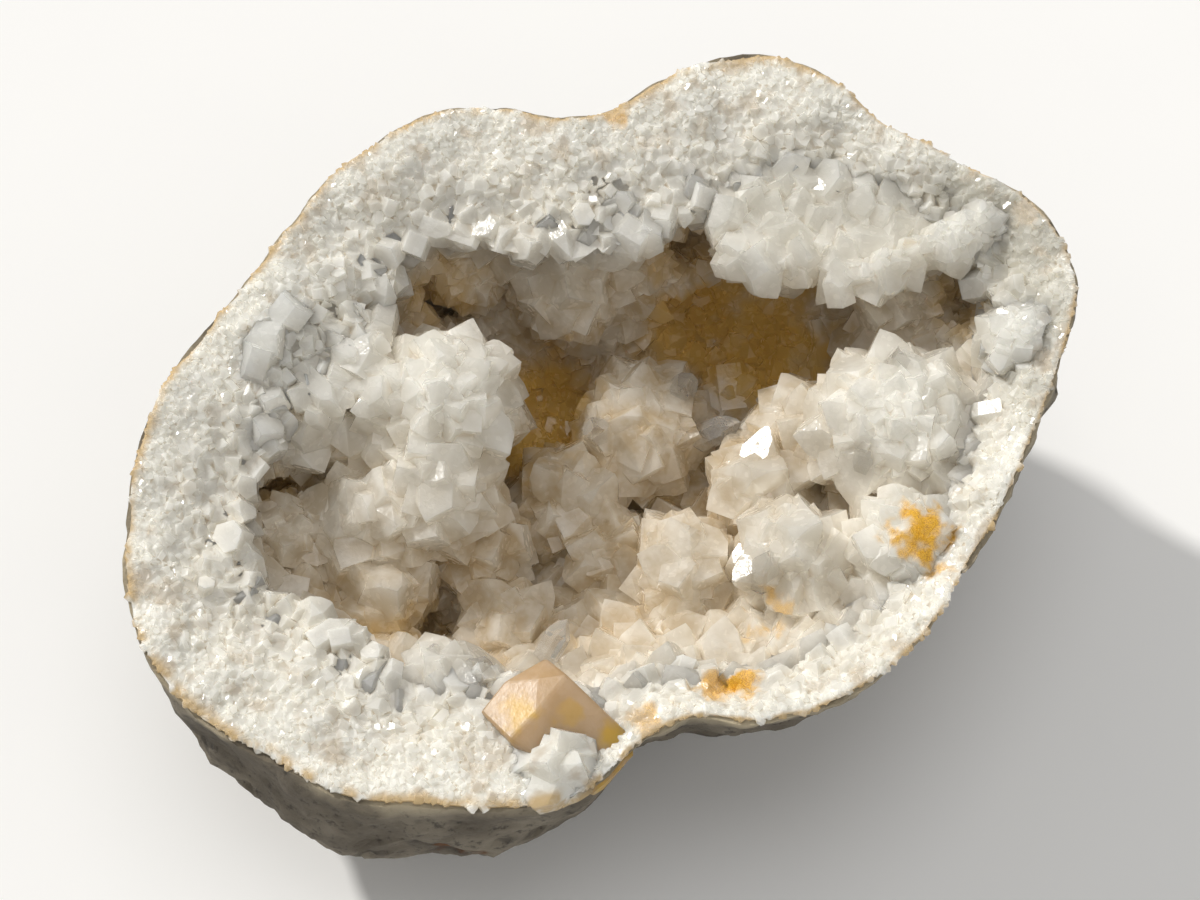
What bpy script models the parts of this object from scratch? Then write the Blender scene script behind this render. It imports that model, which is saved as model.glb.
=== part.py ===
"""Half of a white quartz geode, lying on its rounded back with the hollow facing up.

Two solids: the shell, which is the brown-skinned stone with its thick broken quartz wall, and the
crystal crust that lines the hollow, a druse of pointed crystals over rounded lobes.

Metres, +Z up, origin at the middle of the underside, +X along the longest side.
"""

import math
import random

import bmesh
import bpy
from mathutils import Vector, noise

MM = 0.001

# The broken rim, seen from above: its outer radius every 10 degrees from +X, in millimetres.
RIM_RADIUS = (
    55.0, 50.5, 48.0, 48.5, 48.0, 43.5, 37.5, 36.0, 39.0, 41.0, 41.5, 42.0,
    41.5, 42.5, 45.0, 48.5, 51.0, 53.0, 54.5, 53.5, 50.5, 49.0, 45.5, 43.5,
    41.0, 35.5, 34.5, 37.5, 39.5, 41.0, 42.0, 42.5, 44.5, 47.0, 51.0, 55.5,
)
# Width of the broken rim at the same angles, from its outer edge to the mouth of the hollow.
RIM_WIDTH = (
    6.0, 5.0, 6.0, 10.0, 17.0, 16.5, 13.0, 12.0, 13.5, 12.5, 10.0, 9.5,
    10.0, 11.0, 12.0, 12.5, 10.5, 11.0, 13.0, 15.5, 14.5, 13.5, 13.5, 12.5,
    10.5, 6.5, 5.5, 5.5, 5.5, 5.5, 5.0, 5.0, 5.0, 5.5, 6.5, 8.0,
)
MIDDLE = (0.5, 1.1)  # middle of the finished stone in the measures used here
RIM_HEIGHT = 38.0  # height of the rim over the origin
RIM_RISE_X = 0.073  # the rim climbs towards +X and +Y, away from the side that sits lowest
RIM_RISE_Y = 0.143
RIM_DIP = 3.5  # how far the broken face drops from its outer edge to the mouth
RIM_ROUGHNESS = 1.0  # height of the bumps on the broken face

# The stone's outside. Both rows run every 20 degrees from +X.
DEPTH_SHARE = 1.10  # depth of the full rounded back over the rim height; the excess is worn flat
BACK_POWER = (  # under 1 the flank drops steeply before it turns under, 2 is a straight cone
    1.0, 0.9, 0.85, 0.8, 0.8, 0.8, 0.8, 0.8, 0.8,
    0.8, 0.8, 0.9, 1.15, 1.4, 1.5, 1.45, 1.35, 1.15,
)
SWELL = (  # how far the flank swells past the rim
    0.0, 1.0, 2.0, 2.5, 2.5, 2.5, 2.0, 2.0, 2.0,
    2.5, 5.0, 5.5, 2.0, 0.0, 0.0, 0.0, 0.0, 0.0,
)
LUMP_HEIGHT = 2.0
LUMP_SIZE = 17.0

# The hollow in the shell that the crystal crust fills.
WALL_SHARE = 0.36  # share of the rim's width that belongs to the shell
WALL_LEAST = 3.0
FLOOR_OF_SHELL = 6.5
CRUST_GAP = 0.35

# The open space that the crust is cut with: the bowl of the hollow, and the sky over the rim.
VOID_FLOOR = 11.0
VOID_CENTRE = (9.0, 7.0)  # the deepest place is behind the middle
NEAR_SLOPE_ANGLE = 300.0  # side where the lining runs down as a gentle slope
NEAR_SLOPE = 0.75
FACE_SHARE = 0.34  # share of the seeds below the horizon that lie on the broken face
FACE_OVERRUN = 7.0
SKY_RISE = 30.0
LID_ACROSS = 0.95
OVER_FACE = 6.0  # how far solids stand over the broken face before the sky is cut from them

# Caves between the lobes: x, y and height of the middle, then the radius, in millimetres.
CAVES = (
    (26.0, 9.5, 20.5, 4.8), (21.0, 14.0, 20.5, 5.8), (0.5, 14.5, 17.0, 5.5),
    (-35.0, 14.5, 24.0, 4.5), (45.5, -2.0, 31.5, 4.0), (-25.0, -5.0, 15.5, 4.5),
    (-4.5, 31.0, 25.0, 5.5), (23.0, 20.5, 30.0, 4.5),
)
# Rounded lobes of crystals: x, y and height of the middle, then the radius, in millimetres.
LOBES = (
    # under the far rim
    (7.5, 23.5, 26.0, 5.8), (-2.0, 30.5, 27.0, 4.8), (14.0, 25.0, 35.0, 5.4),
    (30.0, 14.5, 36.5, 6.6), (38.0, 6.5, 36.0, 5.2), (46.0, 4.0, 38.5, 4.4),
    (41.5, 4.0, 27.0, 5.4), (38.5, 1.0, 22.0, 5.6), (46.5, -12.0, 36.5, 3.8),
    # standing on the floor
    (8.5, 6.0, 17.0, 7.6), (-3.0, 2.5, 15.0, 6.0), (-1.5, -6.0, 15.5, 4.4),
    (-15.0, 1.5, 16.5, 5.2), (16.5, 19.0, 13.5, 5.4), (22.0, 6.5, 12.5, 4.6),
    (-17.0, -9.0, 16.0, 4.6),
    # the tall group at the left end
    (-13.0, 13.5, 29.0, 7.8), (-17.5, 6.5, 26.0, 6.4), (-25.0, 8.0, 23.0, 5.6),
    (-34.5, 10.5, 20.0, 5.4), (-23.0, 22.5, 35.0, 5.6), (-29.0, 18.5, 29.0, 4.0),
    (-27.0, -0.5, 19.0, 4.4),
    # the bright group and the slope at the right end
    (31.0, -12.0, 28.5, 8.6), (23.5, -5.0, 23.5, 5.0), (16.0, -9.5, 22.0, 5.2),
    (24.5, -25.5, 30.0, 5.0), (4.0, -13.0, 20.5, 5.0), (14.0, -20.0, 25.5, 5.6),
    # on the near lip
    (-27.0, -16.5, 26.0, 3.8), (-18.0, -23.0, 27.0, 6.2),
)
LOBE_REACH = 18.0  # a lobe runs this far back into the wall that it grew from
LOBE_SOURCE = (8.0, 6.0, 45.0)  # lobes and crystals point at this place over the hollow

# Crystals: one flat-sided point for each seed.
AIR_SEEDS = 520
CRYSTAL_SPACING = 6.6
POINT_HEIGHT = 2.5
POINT_TILT = 0.8  # how far a tip may lean to the side
FACE_POINT_HEIGHT = 1.5
SEED_JITTER = 0.22

SHELL_SEGMENTS = 56
SHELL_RINGS = 20
LINING_SEGMENTS = 36
LINING_RINGS = 12
SMALLEST_EDGE = 0.0
SEED = 17


def turned(values, angle):
    """The value at an angle in radians, on a smooth closed curve through evenly spaced values."""
    count = len(values)
    place = (angle / math.tau % 1.0) * count
    first = int(place)
    share = place - first
    before, here, after, beyond = (values[(first + k) % count] for k in (-1, 0, 1, 2))
    slope_in = (after - before) / 2
    slope_out = (beyond - here) / 2
    return (
        here
        + slope_in * share
        + (3 * (after - here) - 2 * slope_in - slope_out) * share**2
        + (2 * (here - after) + slope_in + slope_out) * share**3
    )


def bump(x, y, z, size):
    """Smooth noise from -1 to 1 with features of the given size in millimetres."""
    return noise.noise(Vector((x, y, z)) / size)


def rim_plane(x, y):
    return RIM_HEIGHT + RIM_RISE_X * x + RIM_RISE_Y * y


def wall_width(angle):
    return max(WALL_LEAST, WALL_SHARE * turned(RIM_WIDTH, angle))


def broken_face(x, y):
    """Height of the broken face: highest at the outer edge, dropping to the mouth, with bumps."""
    angle = math.atan2(y, x)
    inward = turned(RIM_RADIUS, angle) - math.hypot(x, y)
    share = min(1.0, max(0.0, inward / turned(RIM_WIDTH, angle)))
    roughness = RIM_ROUGHNESS * (bump(x, y, 3.0, 6.0) + 0.5 * bump(x, y, 9.0, 3.0))
    return rim_plane(x, y) - RIM_DIP * share**1.5 + roughness


def lid_point(direction, edge, rise):
    """A point of the upright wall and the flat lid that close a solid over the broken face."""
    angle = math.atan2(direction.y, direction.x)
    out = edge * min(1.0, math.hypot(direction.x, direction.y) / LID_ACROSS)
    x, y = out * math.cos(angle), out * math.sin(angle)
    height = rise * min(1.0, direction.z / math.sqrt(1 - LID_ACROSS**2))
    return Vector((x, y, rim_plane(x, y) + height))


def back_power(angle, down):
    """The power of the rounded back at an angle. It evens out to 1, an ellipse, underneath."""
    power = turned(BACK_POWER, angle)
    return power + (1 - power) * down**2


def nodule_point(direction):
    """A point of the whole stone's outside, for a direction on the unit sphere."""
    angle = math.atan2(direction.y, direction.x)
    across = min(1.0, math.hypot(direction.x, direction.y))
    radius = turned(RIM_RADIUS, angle)
    if direction.z > 0:
        return lid_point(direction, radius, OVER_FACE)
    top = rim_plane(radius * math.cos(angle), radius * math.sin(angle))
    down = -direction.z
    power = back_power(angle, down)
    out = radius * across**power + turned(SWELL, angle) * 2 * down * across
    x, y = out * math.cos(angle), out * math.sin(angle)
    z = top * (1 - DEPTH_SHARE * down**power)
    lump = LUMP_HEIGHT * (bump(x, y, z, LUMP_SIZE) + 0.45 * bump(x, y, z, LUMP_SIZE / 2.3))
    point = Vector((x, y, z))
    point += Vector((x, y, (z - top) * 0.8)).normalized() * lump * min(1.0, 4 * down)
    point.z = max(0.0, point.z)
    return point


def hollow_point(direction, gap=0.0):
    """A point of the hollow in the shell, or of the crust that fills it but for the gap."""
    angle = math.atan2(direction.y, direction.x)
    across = min(1.0, math.hypot(direction.x, direction.y))
    edge = turned(RIM_RADIUS, angle) - wall_width(angle) - gap
    if direction.z > 0:
        return lid_point(direction, edge, OVER_FACE if gap else 3 * OVER_FACE)
    power = back_power(angle, -direction.z)
    out = edge * across**power
    top = rim_plane(edge * math.cos(angle), edge * math.sin(angle))
    height = top + (FLOOR_OF_SHELL + gap - top) * (-direction.z) ** power
    return Vector((out * math.cos(angle), out * math.sin(angle), height))


def air_point(direction):
    """A point of the open space: the sky, then the broken face inwards, then the hollow."""
    angle = math.atan2(direction.y, direction.x)
    down = -direction.z
    mouth = turned(RIM_RADIUS, angle) - turned(RIM_WIDTH, angle)
    far = turned(RIM_RADIUS, angle) + FACE_OVERRUN
    if down < FACE_SHARE:
        out = far + (mouth - far) * max(0.0, down) / FACE_SHARE
        if down < 0:
            out = far * math.sqrt(1 - down * down)
        x, y = out * math.cos(angle), out * math.sin(angle)
        return Vector((x, y, broken_face(x, y) + SKY_RISE * max(0.0, -down)))
    depth = (down - FACE_SHARE) / (1 - FACE_SHARE)
    across = math.sqrt(max(0.0, 1 - depth * depth))
    # 1 is a rounded wall and 2 is a straight slope
    power = 1 + NEAR_SLOPE * max(0.0, math.cos(angle - math.radians(NEAR_SLOPE_ANGLE)))
    share = across**power
    edge_x, edge_y = mouth * math.cos(angle), mouth * math.sin(angle)
    edge_height = broken_face(edge_x, edge_y)
    return Vector((
        VOID_CENTRE[0] * (1 - share) + edge_x * share,
        VOID_CENTRE[1] * (1 - share) + edge_y * share,
        edge_height + (VOID_FLOOR - edge_height) * depth**power,
    ))


def new_object(name, mesh_tools, collection):
    """A mesh object in metres, centred on the origin, from a bmesh in millimetres."""
    bmesh.ops.translate(mesh_tools, vec=(-MIDDLE[0], -MIDDLE[1], 0), verts=mesh_tools.verts)
    bmesh.ops.scale(mesh_tools, vec=(MM, MM, MM), verts=mesh_tools.verts)
    bmesh.ops.recalc_face_normals(mesh_tools, faces=mesh_tools.faces)
    mesh = bpy.data.meshes.new(name)
    mesh_tools.to_mesh(mesh)
    mesh_tools.free()
    shape = bpy.data.objects.new(name, mesh)
    collection.objects.link(shape)
    return shape


def shaped_ball(name, point_of, segments, rings, collection):
    """A ball whose every point is moved to where point_of sends its direction."""
    ball = bmesh.new()
    bmesh.ops.create_uvsphere(ball, u_segments=segments, v_segments=rings, radius=1.0)
    for vertex in ball.verts:
        vertex.co = point_of(vertex.co.normalized())
    return new_object(name, ball, collection)


def scattered_directions(count, rng, highest=1.0):
    """Evenly spread directions on the unit sphere up to a height, each moved a little at random."""
    step = math.pi * (3 - math.sqrt(5))
    shift = SEED_JITTER * math.sqrt(2 * math.pi * (1 + highest) / count)
    found = [Vector((0, 0, 1))]
    for number in range(count):
        height = -1 + (1 + highest) * (number + 0.5) / count
        radius = math.sqrt(1 - height * height)
        turn = number * step
        place = Vector((radius * math.cos(turn), radius * math.sin(turn), height))
        place += Vector(rng.uniform(-shift, shift) for _ in range(3))
        found.append(place.normalized())
    return found


def crystal_ball(name, directions, point_of, raise_of, collection):
    """A ball covered in crystals: each seed is a tip, and the valleys run half way between seeds."""
    ball = bmesh.new()
    for direction in directions:
        ball.verts.new(direction)
    bmesh.ops.convex_hull(ball, input=ball.verts)
    seeds, ridges = list(ball.verts), list(ball.edges)
    valleys = bmesh.ops.poke(ball, faces=ball.faces)["verts"]
    bmesh.ops.rotate_edges(ball, edges=ridges)
    for vertex in valleys:
        vertex.co = point_of(vertex.co.normalized())
    for vertex in seeds:
        direction = vertex.co.normalized()
        vertex.co = point_of(direction) + raise_of(direction)
    return new_object(name, ball, collection)


def make_air(cutters, rng):
    """The open space, as a cutter whose underside has crystals standing up into it."""

    def raise_of(direction):
        place = air_point(direction)
        inward = (Vector(LOBE_SOURCE) - place).normalized()
        # 0 on the broken face and 1 inside the hollow
        share = min(1.0, max(0.0, (-direction.z - FACE_SHARE) / 0.15 + 0.4))
        standing = Vector((0, 0, 1)).lerp(inward, share).normalized()
        height = FACE_POINT_HEIGHT + (POINT_HEIGHT - FACE_POINT_HEIGHT) * share
        lean = Vector(rng.uniform(-POINT_TILT, POINT_TILT) for _ in range(3)) * (0.5 + 0.5 * share)
        fade = min(1.0, max(0.0, -12 * direction.z - 0.7))
        return (standing * height * rng.uniform(0.6, 1.3) + lean) * fade

    directions = scattered_directions(AIR_SEEDS, rng, highest=0.3)
    return crystal_ball("air", directions, air_point, raise_of, cutters)


def lobe(name, x, y, z, radius, rng, collection, hollow=False):
    """A ball of crystals drawn out to the wall behind it, or a round hollow lined with them."""
    middle = Vector((x, y, z))
    behind = (middle - Vector(LOBE_SOURCE)).normalized()
    reach_back = 0.0 if hollow else LOBE_REACH
    outward = -0.5 if hollow else 1

    def point_of(direction):
        reach = max(0.0, direction.dot(behind)) * reach_back
        return middle + direction * radius + behind * reach

    def raise_of(direction):
        lean = Vector(rng.uniform(-POINT_TILT, POINT_TILT) for _ in range(3)) * abs(outward)
        return direction * outward * POINT_HEIGHT * rng.uniform(0.4, 1.0) + lean

    count = round(4 * math.pi * radius**2 / CRYSTAL_SPACING**2) + 8
    directions = scattered_directions(count, rng)
    return crystal_ball(name, directions, point_of, raise_of, collection)


def combine(target, operation, cutter=None, collection=None):
    """Joins or cuts the target with one object or with all in a collection."""
    modifier = target.modifiers.new("boolean", "BOOLEAN")
    modifier.operation = operation
    modifier.solver = "EXACT"
    if collection:
        modifier.operand_type = "COLLECTION"
        modifier.collection = collection
    else:
        modifier.object = cutter


def without_pockets(shape):
    """Applies the cuts, then keeps only the main skin: no closed pockets and no loose chips."""
    graph = bpy.context.evaluated_depsgraph_get()
    mesh = bpy.data.meshes.new_from_object(shape.evaluated_get(graph))
    shape.modifiers.clear()
    shape.data = mesh
    skin = bmesh.new()
    skin.from_mesh(mesh)
    waiting = set(skin.faces)
    pieces = []
    while waiting:
        piece, edge_of_piece = set(), [waiting.pop()]
        while edge_of_piece:
            face = edge_of_piece.pop()
            piece.add(face)
            shared = [edge for edge in face.edges if len(edge.link_faces) == 2]
            for neighbour in {other for edge in shared for other in edge.link_faces}:
                if neighbour in waiting:
                    waiting.remove(neighbour)
                    edge_of_piece.append(neighbour)
        pieces.append(piece)
    pieces.sort(key=len)
    for piece in pieces[:-1]:
        bmesh.ops.delete(skin, geom=list(piece), context="FACES")
    bmesh.ops.remove_doubles(skin, verts=skin.verts, dist=SMALLEST_EDGE * MM)
    skin.to_mesh(mesh)
    skin.free()


def material(name, colour, roughness):
    made = bpy.data.materials.new(name)
    made.use_nodes = True
    shader = made.node_tree.nodes["Principled BSDF"]
    shader.inputs["Base Color"].default_value = (*colour, 1.0)
    shader.inputs["Roughness"].default_value = roughness
    shader.inputs["Metallic"].default_value = 0.0
    return made


def new_collection(name, helpers=False):
    made = bpy.data.collections.new(name)
    bpy.context.scene.collection.children.link(made)
    made.hide_render = helpers
    return made


def as_helper(shape):
    shape.hide_render = True
    shape.display_type = "WIRE"


def make_shell(parts, cutters, air):
    shell = shaped_ball("shell", nodule_point, SHELL_SEGMENTS, SHELL_RINGS, parts)
    hollow = shaped_ball("hollow", hollow_point, LINING_SEGMENTS, LINING_RINGS, cutters)
    as_helper(hollow)
    combine(shell, "DIFFERENCE", hollow)
    combine(shell, "DIFFERENCE", air)
    shell.data.materials.append(material("stone", (0.36, 0.33, 0.28), 0.8))


def make_crust(parts, cutters, air, rng):
    def plug_point(direction):
        return hollow_point(direction, CRUST_GAP)

    crust = shaped_ball("crystal_crust", plug_point, LINING_SEGMENTS, LINING_RINGS, parts)
    caves = new_collection("caves", helpers=True)
    for number, (x, y, z, radius) in enumerate(CAVES):
        as_helper(lobe(f"cave_{number}", x, y, z, radius, rng, caves, hollow=True))
    lobes = new_collection("lobes", helpers=True)
    for number, (x, y, z, radius) in enumerate(LOBES):
        as_helper(lobe(f"lobe_{number}", x, y, z, radius, rng, lobes))
    space = air.copy()
    space.name = "space"
    cutters.objects.link(space)
    combine(space, "UNION", collection=caves)
    combine(space, "DIFFERENCE", collection=lobes)
    combine(crust, "DIFFERENCE", space)
    without_pockets(crust)
    crust.data.materials.clear()
    crust.data.materials.append(material("quartz", (0.86, 0.84, 0.8), 0.2))


def main():
    for shape in list(bpy.data.objects):
        bpy.data.objects.remove(shape)
    rng = random.Random(SEED)
    parts = new_collection("geode_half")
    cutters = new_collection("cutters", helpers=True)
    air = make_air(cutters, rng)
    as_helper(air)
    make_shell(parts, cutters, air)
    make_crust(parts, cutters, air, rng)


main()
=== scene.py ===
"""Half of a white quartz geode with a rough brown skin and a hollow full of crystals."""

import math
import random
from collections import namedtuple

import bmesh
import bpy
import numpy as np
from mathutils import Matrix, Vector, noise
from mathutils.bvhtree import BVHTree


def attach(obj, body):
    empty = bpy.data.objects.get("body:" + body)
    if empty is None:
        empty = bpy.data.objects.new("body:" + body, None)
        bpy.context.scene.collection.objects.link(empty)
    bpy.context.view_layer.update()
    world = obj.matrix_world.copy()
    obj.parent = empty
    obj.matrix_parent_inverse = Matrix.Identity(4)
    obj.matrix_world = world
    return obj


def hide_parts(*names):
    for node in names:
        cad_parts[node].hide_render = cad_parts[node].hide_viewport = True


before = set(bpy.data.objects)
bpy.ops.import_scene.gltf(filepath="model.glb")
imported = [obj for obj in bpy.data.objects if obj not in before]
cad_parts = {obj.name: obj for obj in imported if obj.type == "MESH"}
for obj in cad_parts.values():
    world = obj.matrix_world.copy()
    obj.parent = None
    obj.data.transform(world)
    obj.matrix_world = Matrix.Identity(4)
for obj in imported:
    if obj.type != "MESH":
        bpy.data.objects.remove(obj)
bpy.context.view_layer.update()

bl_info = {
    "name": "Quartz geode half",
    "version": (1, 0, 0),
    "blender": (4, 5, 0),
    "location": "View3D > Sidebar > Geode",
    "description": "Builds half of a quartz geode, its skin, its crystals and a pale stage",
    "category": "Add Mesh",
}

MM = 0.001

# The stone's own measures, in millimetres, the same as in the plain solids.
RIM_RADIUS = (
    55.0, 50.5, 48.0, 48.5, 48.0, 43.5, 37.5, 36.0, 39.0, 41.0, 41.5, 42.0,
    41.5, 42.5, 45.0, 48.5, 51.0, 53.0, 54.5, 53.5, 50.5, 49.0, 45.5, 43.5,
    41.0, 35.5, 34.5, 37.5, 39.5, 41.0, 42.0, 42.5, 44.5, 47.0, 51.0, 55.5,
)
RIM_WIDTH = (
    6.0, 5.0, 6.0, 10.0, 17.0, 16.5, 13.0, 12.0, 13.5, 12.5, 10.0, 9.5,
    10.0, 11.0, 12.0, 12.5, 10.5, 11.0, 13.0, 15.5, 14.5, 13.5, 13.5, 12.5,
    10.5, 6.5, 5.5, 5.5, 5.5, 5.5, 5.0, 5.0, 5.0, 5.5, 6.5, 8.0,
)
MIDDLE = (0.5, 1.1)
RIM_HEIGHT = 38.0
RIM_RISE_X = 0.073
RIM_RISE_Y = 0.143
RIM_DIP = 3.5
RIM_ROUGHNESS = 1.0
DEPTH_SHARE = 1.10
BACK_POWER = (
    1.0, 0.9, 0.85, 0.8, 0.8, 0.8, 0.8, 0.8, 0.8,
    0.8, 0.8, 0.9, 1.15, 1.4, 1.5, 1.45, 1.35, 1.15,
)
SWELL = (
    0.0, 1.0, 2.0, 2.5, 2.5, 2.5, 2.0, 2.0, 2.0,
    2.5, 5.0, 5.5, 2.0, 0.0, 0.0, 0.0, 0.0, 0.0,
)
LUMP_HEIGHT = 2.0
LUMP_SIZE = 17.0
SMALL_LUMP_SHARE = 0.45
SMALL_LUMP_SIZE = LUMP_SIZE / 2.3
LUMP_LEAN = 0.8
LUMP_FADE = 4
RIM_BUMP_SIZE = 6.0
SMALL_RIM_BUMP_SIZE = 3.0
WALL_SHARE = 0.36
WALL_LEAST = 3.0
FLOOR_OF_SHELL = 6.5
VOID_FLOOR = 11.0
VOID_CENTRE = (9.0, 7.0)
NEAR_SLOPE_ANGLE = 300.0
NEAR_SLOPE = 0.75
FACE_SHARE = 0.34
FACE_OVERRUN = 7.0
SKY_RISE = 30.0
LID_ACROSS = 0.95
OVER_FACE = 6.0
LOBE_REACH = 18.0
LOBE_SOURCE = (8.0, 6.0, 45.0)

# Round hollows and lobes: x, y and height of the middle, then the radius.
CAVES = (
    (26.0, 9.5, 20.5, 4.8), (21.0, 14.0, 20.5, 5.8), (0.5, 14.5, 17.0, 5.5),
    (-35.0, 14.5, 24.0, 4.5), (45.5, -2.0, 31.5, 4.0), (-25.0, -5.0, 15.5, 4.5),
    (-4.5, 31.0, 25.0, 5.5), (23.0, 20.5, 30.0, 4.5),
)
LOBES = (
    (7.5, 23.5, 26.0, 5.8), (-2.0, 30.5, 27.0, 4.8), (14.0, 25.0, 35.0, 5.4),
    (30.0, 14.5, 36.5, 6.6), (38.0, 6.5, 36.0, 5.2), (46.0, 4.0, 38.5, 4.4),
    (41.5, 4.0, 27.0, 5.4), (38.5, 1.0, 22.0, 5.6), (46.5, -12.0, 36.5, 3.8),
    (8.5, 6.0, 17.0, 7.6), (-3.0, 2.5, 15.0, 6.0), (-1.5, -6.0, 15.5, 4.4),
    (-15.0, 1.5, 16.5, 5.2), (16.5, 19.0, 13.5, 5.4), (22.0, 6.5, 12.5, 4.6),
    (-17.0, -9.0, 16.0, 4.6),
    (-13.0, 13.5, 29.0, 7.8), (-17.5, 6.5, 26.0, 6.4), (-25.0, 8.0, 23.0, 5.6),
    (-34.5, 10.5, 20.0, 5.4), (-23.0, 22.5, 35.0, 5.6), (-29.0, 18.5, 29.0, 4.0),
    (-27.0, -0.5, 19.0, 4.4),
    (31.0, -12.0, 28.5, 8.6), (23.5, -5.0, 23.5, 5.0), (16.0, -9.5, 22.0, 5.2),
    (24.5, -25.5, 30.0, 5.0), (4.0, -13.0, 20.5, 5.0), (14.0, -20.0, 25.5, 5.6),
    (-27.0, -16.5, 26.0, 3.8),
)

# Clear crystals: x, y and height of the middle, half the width, and where the point leans.
CLEAR_CRYSTALS = (
    (15.0, -0.5, 22.5, 1.6, (0.7, -0.3, 0.6)), (-27.5, -15.8, 27.0, 2.3, (0.2, 0.5, 0.8)),
    (-24.5, -18.5, 28.5, 2.0, (0.5, 0.3, 0.8)), (9.5, -21.0, 29.5, 1.5, (0.1, 0.2, 1.0)),
    (24.5, -16.0, 33.0, 1.2, (-0.2, 0.3, 1.0)), (2.0, 5.0, 24.5, 1.5, (-0.2, -0.3, 1.0)),
    (13.5, 5.5, 24.0, 1.5, (0.4, 0.1, 0.8)), (-14.0, -16.0, 23.0, 1.5, (0.7, 0.4, 0.4)),
    (33.0, -8.5, 36.0, 1.5, (0.0, 0.2, 1.0)), (-31.0, 17.0, 29.0, 1.7, (0.4, -0.5, 0.8)),
)
# Corners of the big stained crystal in the near rim.
STAINED_CORNERS = (
    (-17.0, -20.8, 32.8), (-16.2, -24.2, 34.6), (-19.0, -23.0, 34.0), (-25.6, -22.6, 31.4),
    (-22.0, -21.0, 32.2), (-24.5, -27.5, 33.4), (-21.0, -26.5, 34.4), (-14.6, -29.0, 33.0),
    (-12.6, -32.4, 31.2), (-14.0, -35.3, 30.4), (-16.5, -36.6, 30.0), (-18.5, -36.4, 30.2),
    (-21.0, -32.0, 32.0), (-19.0, -22.0, 25.0), (-24.0, -25.0, 25.0), (-14.5, -27.5, 26.0),
    (-13.6, -31.0, 27.5), (-15.5, -34.0, 28.4), (-18.5, -33.0, 27.0), (-23.0, -29.0, 25.0),
)

# Relief of the skin: height and size of its lumps, its ledges and its pits, all fading in.
SKIN_RELIEF = ((1.0, 6.5), (0.55, 2.8), (0.3, 1.2))
LEDGE_HEIGHT = 0.4
LEDGE_TURNS = 0.9
LEDGE_WANDER = 14.0
LEDGE_BREAK = 9.0
PIT_SIZE = 3.4
PIT_RARITY = 0.35
PIT_DEPTH = 4.0
PIT_TOP = 3.0
PIT_FADE = 5.0
SKIN_SUNK = 0.45
CRUST_SUNK = 0.7
SMALL_LOBE_BUMP = 0.6
SMALL_LOBE_BUMP_SIZE = 4.0

# A quartz point: the slope of its end faces, how its faces vary, and the depth of its root.
END_SLOPE = 38.2
SIDE_SPREAD = (0.82, 1.08)
LOW_FACE = 0.9
HIGH_FACE = 1.12
END_SPREAD = (0.9, 1.1)
ROOT = 1.3
SHAPES = 14
CHUNK_SHAPES = 6
GRAIN_STRETCH = 0.85
CLEAR_STRETCH = 1.1
CLEAR_LENGTH = 1.3
LENGTH_SPREAD = (0.85, 1.25)

# How finely the balls that make the forms are divided, and the seeds of the random draws.
LOBE_DETAIL = 3
CHUNK_DETAIL = 3
CRUST_DETAIL = 5
FACE_DETAIL = 6
SKIN_DETAIL = 7
DRUSE_SEED = 11
RIM_SEED = 23
CLEAR_SEED = 47
CHUNK_SEED = 31

# How crystals are scattered: places tried, seed, the share of their widths that they keep
# apart, how far they lean, and the range of how far they rise, in half widths.
Growth = namedtuple("Growth", "tries seed apart lean rise")
DRUSE = Growth(34000, 3, 0.42, 0.36, (-0.8, -0.35))
LOBE_GRAINS = Growth(9000, 9, 0.5, 0.8, (-0.85, -0.3))
RIM_GRAINS = Growth(30000, 5, 0.5, 0.8, (-0.85, -0.3))
CHUNK_POINTS = Growth(900, 13, 0.5, 0.3, (-0.7, -0.3))
SMALL_ONES = 2.2
FULL_SIZE_DEPTH = 6.0
CAVE_EDGE = 2.5
CAVE_SHARE = 0.55
LOBE_GRAIN_SPREAD = (1.3, 3.6)
CRUST_LIMITS = (2.6, 3.2)
CRUST_GAP = 0.1
ON_THE_WALL = 0.0001
OFF_THE_WALL = 0.0004
UNDER_THE_RIM = 0.3
WHOLE_LOBES = 5.0
BROKEN_FAR = (8, 3)
BROKEN_EAR = (-17, 14)
LIMIT_STARTS = 1.0

# The broken rim, in millimetres or as shares of its width.
BED_EDGE = 0.3
BED_DEPTH = 4.0
TOOTH_SIZES = (1.8, 4.4)
TOOTH_SHARE = 0.3
TOOTH_LEAN = 0.3
TOOTH_RISE = (-0.1, 0.5)
TOOTH_PLACES = (0.1, 0.7)
TOOTH_DEPTHS = (-0.15, 0.35)
TOOTH_STEPS = (0.6, 1.1)
TEETH_LIMITS = (0.1, 2.9)
GRAINS_END = (1.0, 1.25)
GRAINS_DOWN_TO = 1.2
LEAST_GRAIN = 0.75
MOUTH_GAIN = 1.9
MOUTH_SHARE = 1.3
GRAIN_LIMITS = (-0.6, 2.6)
GRAIN_SHARE = 0.26

# The stained crystal's worn edges and how far it may stand out of the stone.
WORN_EDGE = 0.0003
STAINED_INSET = -0.5

# The white chunk beside the stained crystal.
CHUNK_MIDDLE = (-20.8, -31.0, 28.8)
CHUNK_REACH = (3.6, 3.9, 3.7)
CHUNK_POINT_SIZES = (0.0012, 0.0026)
CHUNK_LIMITS = (-0.4, 2.0)

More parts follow.
